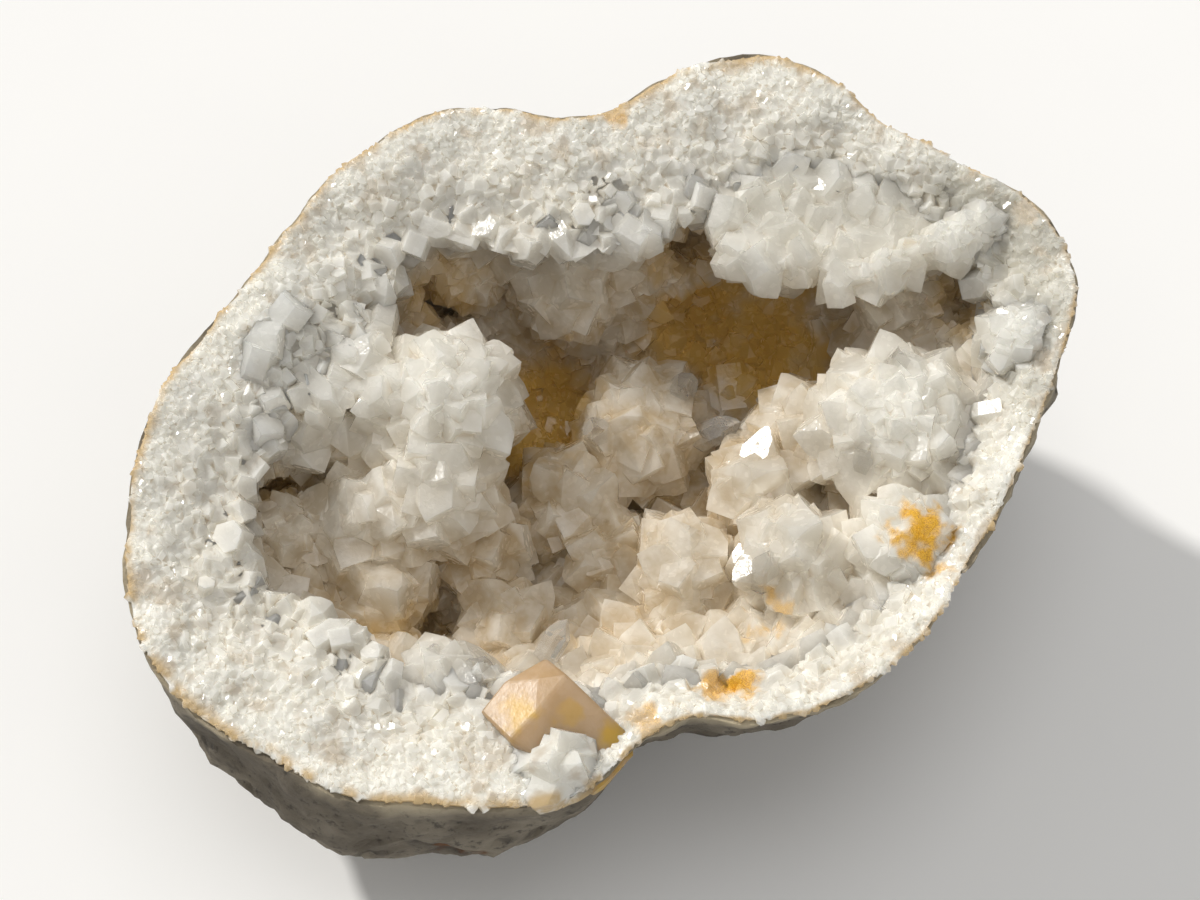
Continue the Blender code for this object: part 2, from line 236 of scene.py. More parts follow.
# The stage.
FLOOR_RADIUS = 3.0
LOOK_AT = (0, 0, 0.03)
CAMERA_AZIMUTH = -27.0
CAMERA_ELEVATION = 62.0
CAMERA_DISTANCE = 0.243
CAMERA_LENS = 65.0
AREA_LIGHTS = (
    ("fill", (0.35, -0.55, 0.6), 0.7, 0.3, (1.0, 0.99, 0.98)),
    ("top", (0.1, 0.1, 0.9), 0.6, 1.3, (1.0, 1.0, 1.0)),
)
SUN_PLACE = (-0.24, 0.56, 0.47)
SUN_STRENGTH = 2.55
SUN_WIDTH = 4
SUN_COLOUR = (1.0, 0.975, 0.93)
BACKDROP_COLOUR = (1.0, 0.985, 0.955, 1)
BACKDROP_LIGHT = 0.4
BACKDROP_SHOWN = 0.57


# Shape of the stone


def turned(values, angle):
    """The value at an angle in radians, on a smooth closed curve through evenly spaced values."""
    count = len(values)
    place = (angle / math.tau % 1.0) * count
    first = int(place)
    share = place - first
    before, here, after, beyond = (values[(first + k) % count] for k in (-1, 0, 1, 2))
    slope_in = (after - before) / 2
    slope_out = (beyond - here) / 2
    return (
        here
        + slope_in * share
        + (3 * (after - here) - 2 * slope_in - slope_out) * share**2
        + (2 * (here - after) + slope_in + slope_out) * share**3
    )


def bump(x, y, z, size):
    """Smooth noise from -1 to 1 with features of the given size in millimetres."""
    return noise.noise(Vector((x, y, z)) / size)


def rim_plane(x, y):
    return RIM_HEIGHT + RIM_RISE_X * x + RIM_RISE_Y * y


def inward_share(x, y):
    """How far a place lies in from the outer edge, from 0 there to 1 at the mouth, and more."""
    angle = math.atan2(y, x)
    return (turned(RIM_RADIUS, angle) - math.hypot(x, y)) / turned(RIM_WIDTH, angle)


def broken_face(x, y):
    """Height of the broken face: highest at the outer edge, dropping to the mouth, with bumps."""
    share = min(1.0, max(0.0, inward_share(x, y)))
    bumps = bump(x, y, 3.0, RIM_BUMP_SIZE) + 0.5 * bump(x, y, 9.0, SMALL_RIM_BUMP_SIZE)
    return rim_plane(x, y) - RIM_DIP * share**1.5 + RIM_ROUGHNESS * bumps


def lid_point(direction, edge, rise):
    """A point of the upright wall and the flat lid that close a solid over the broken face."""
    angle = math.atan2(direction.y, direction.x)
    out = edge * min(1.0, math.hypot(direction.x, direction.y) / LID_ACROSS)
    x, y = out * math.cos(angle), out * math.sin(angle)
    height = rise * min(1.0, direction.z / math.sqrt(1 - LID_ACROSS**2))
    return Vector((x, y, rim_plane(x, y) + height))


def back_power(angle, down):
    """The power of the rounded back at an angle. It evens out to 1, an ellipse, underneath."""
    power = turned(BACK_POWER, angle)
    return power + (1 - power) * down**2


def stone_point(direction, inset=0.0):
    """A point of the whole stone's outside, for a direction on the unit sphere."""
    angle = math.atan2(direction.y, direction.x)
    across = min(1.0, math.hypot(direction.x, direction.y))
    radius = turned(RIM_RADIUS, angle) - inset
    if direction.z > 0:
        return lid_point(direction, radius, OVER_FACE)
    top = rim_plane(radius * math.cos(angle), radius * math.sin(angle))
    down = -direction.z
    power = back_power(angle, down)
    out = radius * across**power + turned(SWELL, angle) * 2 * down * across
    x, y = out * math.cos(angle), out * math.sin(angle)
    z = top * (1 - DEPTH_SHARE * down**power)
    lump = bump(x, y, z, LUMP_SIZE) + SMALL_LUMP_SHARE * bump(x, y, z, SMALL_LUMP_SIZE)
    lump *= LUMP_HEIGHT
    outward = Vector((x, y, (z - top) * LUMP_LEAN)).normalized()
    return Vector((x, y, z)) + outward * lump * min(1.0, LUMP_FADE * down)


def hollow_point(direction, gap=0.0):
    """A point of the hollow in the shell, or of the crust that fills it but for the gap."""
    angle = math.atan2(direction.y, direction.x)
    across = min(1.0, math.hypot(direction.x, direction.y))
    wall = max(WALL_LEAST, WALL_SHARE * turned(RIM_WIDTH, angle))
    edge = turned(RIM_RADIUS, angle) - wall - gap
    if direction.z > 0:
        return lid_point(direction, edge, OVER_FACE if gap else 3 * OVER_FACE)
    power = back_power(angle, -direction.z)
    out = edge * across**power
    top = rim_plane(edge * math.cos(angle), edge * math.sin(angle))
    height = top + (FLOOR_OF_SHELL + gap - top) * (-direction.z) ** power
    return Vector((out * math.cos(angle), out * math.sin(angle), height))


def air_point(direction, sunk=0.0):
    """A point of the open space: the sky, then the broken face inwards, then the hollow."""
    angle = math.atan2(direction.y, direction.x)
    down = -direction.z
    mouth = turned(RIM_RADIUS, angle) - turned(RIM_WIDTH, angle)
    far = turned(RIM_RADIUS, angle) + FACE_OVERRUN
    if down < FACE_SHARE:
        out = far + (mouth - far) * max(0.0, down) / FACE_SHARE
        if down < 0:
            out = far * math.sqrt(1 - down * down)
        x, y = out * math.cos(angle), out * math.sin(angle)
        return Vector((x, y, broken_face(x, y) - sunk + SKY_RISE * max(0.0, -down)))
    depth = (down - FACE_SHARE) / (1 - FACE_SHARE)
    across = math.sqrt(max(0.0, 1 - depth * depth))
    power = 1 + NEAR_SLOPE * max(0.0, math.cos(angle - math.radians(NEAR_SLOPE_ANGLE)))
    share = across**power
    edge_x, edge_y = mouth * math.cos(angle), mouth * math.sin(angle)
    edge_height = broken_face(edge_x, edge_y) - sunk
    return Vector((
        VOID_CENTRE[0] * (1 - share) + edge_x * share,
        VOID_CENTRE[1] * (1 - share) + edge_y * share,
        edge_height + (VOID_FLOOR - edge_height) * depth**power,
    ))


def in_stone(place):
    """A place of the scene, in the stone's own millimetres."""
    return place.x / MM + MIDDLE[0], place.y / MM + MIDDLE[1], place.z / MM


def in_metres(place):
    return Vector((place.x - MIDDLE[0], place.y - MIDDLE[1], place.z)) * MM


# Mesh tools


def new_object(name, mesh_tools):
    """A mesh object in metres, centred on the origin, from a bmesh in millimetres."""
    bmesh.ops.translate(mesh_tools, vec=(-MIDDLE[0], -MIDDLE[1], 0), verts=mesh_tools.verts)
    bmesh.ops.scale(mesh_tools, vec=(MM, MM, MM), verts=mesh_tools.verts)
    bmesh.ops.recalc_face_normals(mesh_tools, faces=mesh_tools.faces)
    mesh = bpy.data.meshes.new(name)
    mesh_tools.to_mesh(mesh)
    mesh_tools.free()
    shape = bpy.data.objects.new(name, mesh)
    bpy.context.scene.collection.objects.link(shape)
    return shape


def ball(name, point_of, detail):
    """A closed ball whose every point is moved to where point_of sends its direction."""
    made = bmesh.new()
    bmesh.ops.create_icosphere(made, subdivisions=detail, radius=1.0)
    for vertex in made.verts:
        vertex.co = point_of(vertex.co.normalized())
    return new_object(name, made)


def remove(shapes):
    for shape in shapes:
        mesh = shape.data
        bpy.data.objects.remove(shape)
        if mesh.users == 0:
            bpy.data.meshes.remove(mesh)


def combine(target, operation, others):
    """Joins the target with others, or cuts them from it, and deletes them."""
    group = bpy.data.collections.new("operands")
    bpy.context.scene.collection.children.link(group)
    for other in others:
        for held in list(other.users_collection):
            held.objects.unlink(other)
        group.objects.link(other)
    modifier = target.modifiers.new("boolean", "BOOLEAN")
    modifier.operation = operation
    modifier.solver = "MANIFOLD"
    modifier.operand_type = "COLLECTION"
    modifier.collection = group
    graph = bpy.context.evaluated_depsgraph_get()
    mesh = bpy.data.meshes.new_from_object(target.evaluated_get(graph))
    if len(mesh.polygons) == 0:
        raise RuntimeError(f"the Boolean on {target.name} left nothing")
    target.modifiers.clear()
    old = target.data
    target.data = mesh
    bpy.data.meshes.remove(old)
    remove(others)
    bpy.data.collections.remove(group)


def apply_modifiers(shape):
    graph = bpy.context.evaluated_depsgraph_get()
    mesh = bpy.data.meshes.new_from_object(shape.evaluated_get(graph))
    shape.modifiers.clear()
    old = shape.data
    shape.data = mesh
    bpy.data.meshes.remove(old)


def hull_of(name, corners):
    """The flat-faced solid around the corners, which are in the stone's millimetres."""
    made = bmesh.new()
    for corner in corners:
        made.verts.new(corner)
    hull = bmesh.ops.convex_hull(made, input=made.verts)
    loose = [part for part in hull["geom_interior"] if isinstance(part, bmesh.types.BMVert)]
    bmesh.ops.delete(made, geom=loose, context="VERTS")
    bmesh.ops.dissolve_limit(
        made, angle_limit=math.radians(4), verts=made.verts, edges=made.edges
    )
    return new_object(name, made)


def keep_largest(shape):
    """Drops closed pockets and loose chips, so that the piece is one skin."""
    skin = bmesh.new()
    skin.from_mesh(shape.data)
    waiting = set(skin.faces)
    pieces = []
    while waiting:
        piece, front = set(), [waiting.pop()]
        while front:
            face = front.pop()
            piece.add(face)
            for edge in face.edges:
                for other in edge.link_faces:
                    if other in waiting:
                        waiting.remove(other)
                        front.append(other)
        pieces.append(piece)
    pieces.sort(key=len)
    for piece in pieces[:-1]:
        bmesh.ops.delete(skin, geom=list(piece), context="FACES")
    skin.to_mesh(shape.data)
    skin.free()


def finished(shape, name, finish, slot, *nodes):
    """Names the piece, gives it its finish and hangs it on the frame."""
    shape.name = name
    shape.data.name = name
    shape.data.materials.clear()
    shape.data.materials.append(finish)
    inward = shape.data.attributes.new("inward", "FLOAT", "POINT")
    for vertex, value in zip(shape.data.vertices, inward.data):
        x, y, z = in_stone(vertex.co)
        value.value = inward_share(x, y)
    shape.data.shade_flat()
    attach(shape, "root")
    if nodes:
        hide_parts(*nodes)
    return shape


# Crystals


def crystal_mesh(name, rng, stretch=1.0):
    """A six-sided prism that ends in a point of six unequal faces, one unit in radius."""
    planes = []
    for side in range(6):
        angle = math.radians(60 * side)
        across = Vector((math.cos(angle), math.sin(angle), 0))
        planes.append((across, rng.uniform(*SIDE_SPREAD)))
        slope = math.radians(END_SLOPE)
        normal = across * math.cos(slope) + Vector((0, 0, math.sin(slope)))
        distance = (LOW_FACE if side % 2 else HIGH_FACE) * rng.uniform(*END_SPREAD)
        planes.append((normal, distance * stretch))
    planes.append((Vector((0, 0, -1)), ROOT))
    corners = []
    for first in range(len(planes)):
        for second in range(first):
            for third in range(second):
                rows = [planes[k][0] for k in (first, second, third)]
                matrix = Matrix(rows)
                if abs(matrix.determinant()) < 1e-6:
                    continue
                place = matrix.inverted() @ Vector([planes[k][1] for k in (first, second, third)])
                if all(place.dot(normal) <= reach + 1e-6 for normal, reach in planes):
                    corners.append(place)
    crystal = bmesh.new()
    for corner in corners:
        crystal.verts.new(corner)
    bmesh.ops.remove_doubles(crystal, verts=crystal.verts, dist=1e-4)
    bmesh.ops.convex_hull(crystal, input=crystal.verts)
    bmesh.ops.dissolve_limit(
        crystal, angle_limit=math.radians(1), verts=crystal.verts, edges=crystal.edges
    )
    bmesh.ops.recalc_face_normals(crystal, faces=crystal.faces)
    mesh = bpy.data.meshes.new(name)
    mesh.use_fake_user = True
    crystal.to_mesh(mesh)
    crystal.free()
    return mesh


def surface_samples(shape, wanted, count, seed):
    """Random places and smooth normals on the faces whose middle is wanted."""
    mesh = shape.data
    mesh.calc_loop_triangles()
    corners = np.empty(len(mesh.vertices) * 3)
    mesh.vertices.foreach_get("co", corners)
    corners = corners.reshape(-1, 3)
    normals = np.empty(len(mesh.vertices) * 3)
    mesh.vertices.foreach_get("normal", normals)
    normals = normals.reshape(-1, 3)
    triangles = np.empty(len(mesh.loop_triangles) * 3, int)
    mesh.loop_triangles.foreach_get("vertices", triangles)
    triangles = triangles.reshape(-1, 3)
    a, b, c = (corners[triangles[:, k]] for k in range(3))
    area = np.linalg.norm(np.cross(b - a, c - a), axis=1) / 2
    middle = (a + b + c) / 3
    facing = np.cross(b - a, c - a)
    open_to = np.array([wanted(Vector(m), Vector(f)) for m, f in zip(middle, facing)])
    weight = np.where(open_to, area, 0)
    draw = np.random.default_rng(seed)
    chosen = draw.choice(len(triangles), size=count, p=weight / weight.sum())
    u, v = draw.random(count), draw.random(count)
    over = u + v > 1
    u[over], v[over] = 1 - u[over], 1 - v[over]
    w = 1 - u - v
    places = w[:, None] * a[chosen] + u[:, None] * b[chosen] + v[:, None] * c[chosen]
    n = [normals[triangles[chosen, k]] for k in range(3)]
    smooth = w[:, None] * n[0] + u[:, None] * n[1] + v[:, None] * n[2]
    return [Vector(p) for p in places], [Vector(s).normalized() for s in smooth]


def settle(places, normals, size_of, apart, rng):
    """Keeps the places where a crystal of its size has room. Larger ones are tried first."""
    order = [(size_of(place, rng), place, normal) for place, normal in zip(places, normals)]
    order.sort(key=lambda entry: -entry[0])
    cell = 2 * order[0][0]
    grid = {}
    kept = []

    def cell_of(place):
        return tuple(int(math.floor(value / cell)) for value in place)

    for size, place, normal in order:
        home = cell_of(place)
        near = (
            entry
            for dx in (-1, 0, 1)
            for dy in (-1, 0, 1)
            for dz in (-1, 0, 1)
            for entry in grid.get((home[0] + dx, home[1] + dy, home[2] + dz), ())
        )
        if any((place - other).length < apart * (size + width) for width, other in near):
            continue
        grid.setdefault(home, []).append((size, place))
        kept.append((size, place, normal))
    return kept


def grow(shape, seeds, lean, rise, rng, shapes):
    """Fuses a crystal to the shape at every seed."""
    crystals = []
    for size, place, normal in seeds:
        tilt = Vector(rng.gauss(0, lean) for _ in range(3))
        up = (normal + tilt).normalized()
        crystal = bpy.data.objects.new("crystal", rng.choice(shapes))
        turn = up.to_track_quat("Z", "Y").to_matrix().to_4x4()
        spin = Matrix.Rotation(rng.uniform(0, math.tau), 4, "Z")
        stretch = Matrix.Diagonal((size, size, size * rng.uniform(*LENGTH_SPREAD), 1))
        lift = normal * size * rng.uniform(*rise)
        crystal.matrix_world = Matrix.Translation(place + lift) @ turn @ spin @ stretch
        bpy.context.scene.collection.objects.link(crystal)
        crystals.append(crystal)
    combine(shape, "UNION", crystals)


def cover(shape, wanted, size_of, growth, rng, shapes):
    """Grows crystals over the wanted faces of the shape."""
    places, normals = surface_samples(shape, wanted, growth.tries, growth.seed)
    seeds = settle(places, normals, size_of, growth.apart, rng)
    grow(shape, seeds, growth.lean, growth.rise, rng, shapes)


# Node tools


def add(tree, kind, values=None, **settings):
    """A node with its sockets set by name: from a socket it makes a link, or else a value."""
    made = tree.nodes.new(kind)
    for key, value in settings.items():
        setattr(made, key, value)
    for key, value in (values or {}).items():
        socket = made.inputs[key]
        if isinstance(value, bpy.types.NodeSocket):
            tree.links.new(value, socket)
        else:
            socket.default_value = value
    return made


def mixed(tree, share, first, second):
    """The colour between two colours."""
    node = tree.nodes.new("ShaderNodeMix")
    node.data_type = "RGBA"
    for index, value in ((0, share), (6, first), (7, second)):
        if isinstance(value, bpy.types.NodeSocket):
            tree.links.new(value, node.inputs[index])
        else:
            node.inputs[index].default_value = value
    return node.outputs[2]


def calc(tree, operation, first, second=0.5, clamp=False):
    node = tree.nodes.new("ShaderNodeMath")
    node.operation = operation
    node.use_clamp = clamp
    for index, value in ((0, first), (1, second)):
        if isinstance(value, bpy.types.NodeSocket):
            tree.links.new(value, node.inputs[index])
        else:
            node.inputs[index].default_value = value
    return node.outputs[0]


def new_group(name, inputs, outputs):
    """An empty node group with named sockets, and its input and output nodes."""
    group = bpy.data.node_groups.new(name, "ShaderNodeTree")
    for title, kind, value in inputs:
        socket = group.interface.new_socket(title, in_out="INPUT", socket_type=kind)
        socket.default_value = value
    for title, kind in outputs:
        group.interface.new_socket(title, in_out="OUTPUT", socket_type=kind)
    return group, group.nodes.new("NodeGroupInput"), group.nodes.new("NodeGroupOutput")


def spot_group():
    """A ragged round patch about a place in the stone."""
    name = "Ragged patch"
    if name in bpy.data.node_groups:
        return bpy.data.node_groups[name]
    group, given, result = new_group(
        name,
        [
            ("Centre", "NodeSocketVector", (0, 0, 0)),
            ("Radius", "NodeSocketFloat", 0.005),
            ("Wander", "NodeSocketFloat", 0.0),
        ],
        [("Mask", "NodeSocketFloat")],
    )
    place = add(group, "ShaderNodeTexCoord").outputs["Object"]
    away = add(group, "ShaderNodeVectorMath", operation="DISTANCE")
    group.links.new(place, away.inputs[0])
    group.links.new(given.outputs["Centre"], away.inputs[1])
    share = calc(group, "DIVIDE", away.outputs["Value"], given.outputs["Radius"])
    share = calc(group, "ADD", share, given.outputs["Wander"])
    fade = add(
        group,
        "ShaderNodeMapRange",
        {"Value": share, "From Min": 1.15, "From Max": 0.45, "To Min": 0.0, "To Max": 1.0},
        interpolation_type="SMOOTHSTEP",
    )
    group.links.new(fade.outputs["Result"], result.inputs["Mask"])
    return group


def depth_group():
    """How deep a place lies under the plane of the rim, from 0 at the top to 1."""
    name = "Depth in the hollow"
    if name in bpy.data.node_groups:
        return bpy.data.node_groups[name]
    group, given, result = new_group(
        name,
        [
            ("Rim Height", "NodeSocketFloat", RIM_HEIGHT * MM),
            ("Full Depth", "NodeSocketFloat", 0.025),
        ],
        [("Depth", "NodeSocketFloat")],
    )
    place = add(group, "ShaderNodeTexCoord").outputs["Object"]
    parts = add(group, "ShaderNodeSeparateXYZ", {"Vector": place})
    rise = calc(group, "MULTIPLY", parts.outputs["X"], RIM_RISE_X)
    rise = calc(group, "ADD", rise, calc(group, "MULTIPLY", parts.outputs["Y"], RIM_RISE_Y))
    rise = calc(group, "ADD", rise, given.outputs["Rim Height"])
    depth = calc(group, "SUBTRACT", rise, parts.outputs["Z"])
    share = calc(group, "DIVIDE", depth, given.outputs["Full Depth"], clamp=True)
    group.links.new(share, result.inputs["Depth"])
    return group


def veil_group():
    """Milky veils and clouds inside quartz, and the fine steps on its faces."""
    name = "Milky veils"
    if name in bpy.data.node_groups:
        return bpy.data.node_groups[name]
    group, given, result = new_group(
        name,
        [("Cloud Size", "NodeSocketFloat", 300.0), ("Step Size", "NodeSocketFloat", 1500.0)],
        [("Cloud", "NodeSocketFloat"), ("Steps", "NodeSocketFloat"), ("Sparkle", "NodeSocketFloat")],
    )
    place = add(group, "ShaderNodeTexCoord").outputs["Object"]
    cloud = add(
        group,
        "ShaderNodeTexNoise",
        {"Vector": place, "Scale": given.outputs["Cloud Size"], "Detail": 3.0, "Roughness": 0.6},
    )
    spread = add(
        group,
        "ShaderNodeMapRange",
        {"Value": cloud.outputs["Fac"], "From Min": 0.35, "From Max": 0.68},
        interpolation_type="SMOOTHSTEP",
    )
    steps = add(
        group,
        "ShaderNodeTexNoise",
        {"Vector": place, "Scale": given.outputs["Step Size"], "Detail": 2.0, "Roughness": 0.7},
    )
    cells = add(
        group,
        "ShaderNodeTexVoronoi",
        {"Vector": place, "Scale": given.outputs["Step Size"]},
    )
    sparkle = add(group, "ShaderNodeSeparateColor", {"Color": cells.outputs["Color"]})
    group.links.new(spread.outputs["Result"], result.inputs["Cloud"])
    group.links.new(steps.outputs["Fac"], result.inputs["Steps"])
    group.links.new(sparkle.outputs["Red"], result.inputs["Sparkle"])
    return group


def ranged(tree, value, low, high):
    """A smooth ramp from 0 at low to 1 at high."""
    ramp = add(
        tree,
        "ShaderNodeMapRange",
        {"Value": value, "From Min": low, "From Max": high},
        interpolation_type="SMOOTHSTEP",
    )
    return ramp.outputs["Result"]


def grouped(tree, group, **values):
    made = tree.nodes.new("ShaderNodeGroup")
    made.node_tree = group
    for key, value in values.items():
        made.inputs[key.replace("_", " ")].default_value = value
    return made


def new_material(name):
    made = bpy.data.materials.new(name)
    made.use_nodes = True
    return made, made.node_tree, made.node_tree.nodes["Principled BSDF"]


def roughened(tree, shader, value, smoothest, roughest):
    """Varies the roughness with a value."""
    ends = {"Value": value, "To Min": smoothest, "To Max": roughest}
    ramp = add(tree, "ShaderNodeMapRange", ends)
    tree.links.new(ramp.outputs["Result"], shader.inputs["Roughness"])


def in_relief(tree, shader, height, strength, distance):
    """Gives a surface fine relief."""
    ends = {"Height": height, "Strength": strength, "Distance": distance}
    raised = add(tree, "ShaderNodeBump", ends)
    tree.links.new(raised.outputs["Normal"], shader.inputs["Normal"])


def patches(tree, colour, spots, tint, raggedness, grain):
    """Lays ragged patches of a tint over a colour.

    Each spot is its x, y, height and radius in millimetres and the strength of its tint.
    """
    if not spots:
        return colour
    place = add(tree, "ShaderNodeTexCoord").outputs["Object"]
    ragged = add(tree, "ShaderNodeTexNoise", {"Vector": place, "Scale": grain, "Detail": 2.0})
    wander = calc(tree, "SUBTRACT", ragged.outputs["Fac"], 0.5)
    wander = calc(tree, "MULTIPLY", wander, 4 * raggedness)
    for x, y, z, radius, strength in spots:
        spot = grouped(
            tree,
            spot_group(),
            Centre=((x - MIDDLE[0]) * MM, (y - MIDDLE[1]) * MM, z * MM),
            Radius=radius * MM,
        )
        tree.links.new(wander, spot.inputs["Wander"])
        share = calc(tree, "MULTIPLY", spot.outputs["Mask"], strength)
        colour = mixed(tree, share, colour, tint)
    return colour


# Finishes

QUARTZ_IOR = 1.54
VEIL = (0.80, 0.79, 0.75, 1)
# Painted shade in crevices between crystals.
CREVICE_SHADE = (0.42, 0.32, 0.20, 1)
# Painted highlight on sharp edges and tips, partly also the whiter colour of real quartz points.
TIP_HIGHLIGHT = (0.86, 0.85, 0.81, 1)
GLASSY = (0.40, 0.385, 0.33, 1)
DARK_RUST = (0.46, 0.23, 0.03, 1)
MURK = (0.47, 0.40, 0.31, 1)
TAN_EDGE = (0.50, 0.37, 0.20, 1)
PALE_PEACH = (0.78, 0.60, 0.44, 1)
CLEAR = (0.97, 0.96, 0.94, 1)
CLEAR_VEIL = (0.86, 0.84, 0.80, 1)
HOLE_RUST = (0.16, 0.06, 0.015, 1)
CRUMBLING_EDGE = (0.70, 0.60, 0.42, 1)
FLOOR_TINTS = ((0.93, 0.93, 0.93, 1), (0.95, 0.95, 0.945, 1))
# Depth under the rim at which the painted shade of the hollow is at full strength, in metres.
FULL_SHADE_DEPTH = 0.014
EDGE_DEPTH = 0.002

# Middle, radius and strength of the patches of colour, in millimetres.
# The caves' patches are painted shade with a painted amber glow, darker deep in the caves.
CAVE_SHADE_SPOTS = (
    (27.0, 9.5, 18.0, 10.0, 1.0), (20.0, 16.0, 19.0, 8.0, 0.9), (-1.5, 13.5, 16.0, 10.0, 1.0),
    (-6.5, 29.0, 28.0, 6.0, 0.5), (-29.0, -2.5, 14.0, 9.0, 0.5), (11.0, 1.0, 10.0, 8.0, 0.5),
    (-35.0, 17.0, 22.0, 6.0, 0.5), (46.0, -3.0, 31.0, 5.0, 0.5), (22.0, 19.0, 30.0, 6.0, 0.45),
)
CHUNK_STAINS = ((-11.0, -31.5, 31.0, 2.2, 0.6),)
IRON_STAINS = (
    (25.4, -27.3, 34.5, 3.6, 1.0), (6.8, -24.9, 28.9, 3.4, 0.6), (-2.1, -31.0, 30.5, 2.6, 0.8),
    (0.6, -32.0, 31.0, 2.2, 0.95), (17.6, 31.5, 43.5, 1.8, 0.6), *CHUNK_STAINS,
)
GLASSY_LOBES = ((31.0, 14.0, 41.0, 8.0, 0.35), (40.0, 8.0, 41.0, 6.0, 0.35))
GLASSY_PLACES = (
    (50.0, 4.0, 41.5, 7.0, 0.6), (52.0, -4.0, 41.0, 6.0, 0.6), (49.0, -12.0, 39.0, 6.0, 0.6),
    (44.0, -20.0, 37.5, 5.0, 0.45), *GLASSY_LOBES,
)
RUST_HOLES = ((-31.7, -29.0, 19.5, 3.5, 1.0),)
STAINED_PATCHES = (
    (-21.6, -25.8, 32.5, 2.6, 0.95), (-14.4, -31.4, 31.0, 2.4, 0.95), (-17.5, -34.5, 28.5, 3.6, 0.85),
    (-17.5, -27.5, 34.0, 1.6, 0.5),
)


def quartz(name, dim, caves, glassy, stains, depth_shade, shade_and_highlight, cloud, milk, reach):
    """Milky quartz: white near the light, darker and warmer down in the hollow by painted shade,
    with veils and stains.

    The caves, glassy places and stains are patches; the caves are painted shade with a painted
    amber glow. The two numbers after the stains set the painted shade down in the hollow, and the
    painted shade in crevices with the painted highlight on sharp edges and tips, which is partly
    also the whiter colour of real quartz points. Milk is the share of scattered light, and reach
    is how far that light travels inside, in metres.
    """
    made, tree, shader = new_material(name)
    white, hollow_shade, cave_shade, iron = quartz_colours(dim)
    depth = grouped(tree, depth_group(), Full_Depth=FULL_SHADE_DEPTH)
    veils = grouped(tree, veil_group(), Cloud_Size=cloud, Step_Size=1600.0)
    # Painted shade: the quartz grows darker and warmer towards the bottom of the hollow.
    shade = calc(tree, "MULTIPLY", depth.outputs["Depth"], depth_shade)
    colour = mixed(tree, shade, white, hollow_shade)
    cloudy = calc(tree, "MULTIPLY", veils.outputs["Cloud"], 0.35)
    colour = mixed(tree, cloudy, colour, VEIL)
    sharp = add(tree, "ShaderNodeNewGeometry").outputs["Pointiness"]
    # Painted shade: darker brown where the surface curves inwards, in crevices between crystals.
    crevice_shade = calc(tree, "MULTIPLY", ranged(tree, sharp, 0.5, 0.40), shade_and_highlight)
    colour = mixed(tree, crevice_shade, colour, CREVICE_SHADE)
    # Painted highlight: lighter colour on sharp edges and tips, partly also the real whiter points.
    tip_highlight = calc(tree, "MULTIPLY", ranged(tree, sharp, 0.52, 0.66), shade_and_highlight)
    colour = mixed(tree, tip_highlight, colour, TIP_HIGHLIGHT)
    # Painted shade with a painted amber glow in the deep caves.
    colour = patches(tree, colour, caves, cave_shade, 0.35, 220.0)
    colour = patches(tree, colour, glassy, GLASSY, 0.45, 300.0)
    rusty = add(tree, "ShaderNodeTexNoise", {"Scale": 700.0, "Detail": 1.0})
    iron = mixed(tree, ranged(tree, rusty.outputs["Fac"], 0.46, 0.6), iron, DARK_RUST)
    colour = patches(tree, colour, stains, iron, 0.6, 420.0)
    inward = add(tree, "ShaderNodeAttribute", attribute_name="inward").outputs["Fac"]
    place = add(tree, "ShaderNodeTexCoord").outputs["Object"]
    mottle = add(tree, "ShaderNodeTexNoise", {"Vector": place, "Scale": 330.0, "Detail": 3.0})
    murky = ranged(tree, mottle.outputs["Fac"], 0.5, 0.66)
    outer = ranged(tree, inward, 1.0, 0.1)
    share = calc(tree, "MULTIPLY", calc(tree, "MULTIPLY", murky, outer), 0.72)
    colour = mixed(tree, share, colour, MURK)
    skin_side = ranged(tree, inward, 0.13, 0.02)
    share = calc(tree, "MULTIPLY", skin_side, ranged(tree, mottle.outputs["Fac"], 0.36, 0.56))
    colour = mixed(tree, share, colour, TAN_EDGE)
    tree.links.new(colour, shader.inputs["Base Color"])
    roughened(tree, shader, veils.outputs["Sparkle"], 0.03, 0.32)
    in_relief(tree, shader, veils.outputs["Steps"], 0.25, 0.00025)
    shader.inputs["IOR"].default_value = QUARTZ_IOR
    shader.subsurface_method = "BURLEY"
    shader.inputs["Subsurface Weight"].default_value = milk
    shader.inputs["Subsurface Radius"].default_value = (1.0, 0.93, 0.8)
    shader.inputs["Subsurface Scale"].default_value = reach
    return made


def stained_finish(peach, rust):
    """Peach-coloured quartz with rusty clouds inside."""
    made, tree, shader = new_material("stained_quartz")
    veils = grouped(tree, veil_group(), Cloud_Size=330.0, Step_Size=1500.0)
    cloudy = calc(tree, "MULTIPLY", veils.outputs["Cloud"], 0.3)
    colour = mixed(tree, cloudy, peach, PALE_PEACH)
    colour = patches(tree, colour, STAINED_PATCHES, rust, 0.5, 420.0)
    tree.links.new(colour, shader.inputs["Base Color"])
    roughened(tree, shader, veils.outputs["Steps"], 0.28, 0.5)
    in_relief(tree, shader, veils.outputs["Steps"], 0.15, 0.0003)
    shader.inputs["IOR"].default_value = QUARTZ_IOR
    shader.subsurface_method = "BURLEY"
    shader.inputs["Subsurface Weight"].default_value = 0.9
    shader.inputs["Subsurface Radius"].default_value = (1.0, 0.8, 0.55)
    shader.inputs["Subsurface Scale"].default_value = 0.004
    shader.inputs["Transmission Weight"].default_value = 0.2
    return made


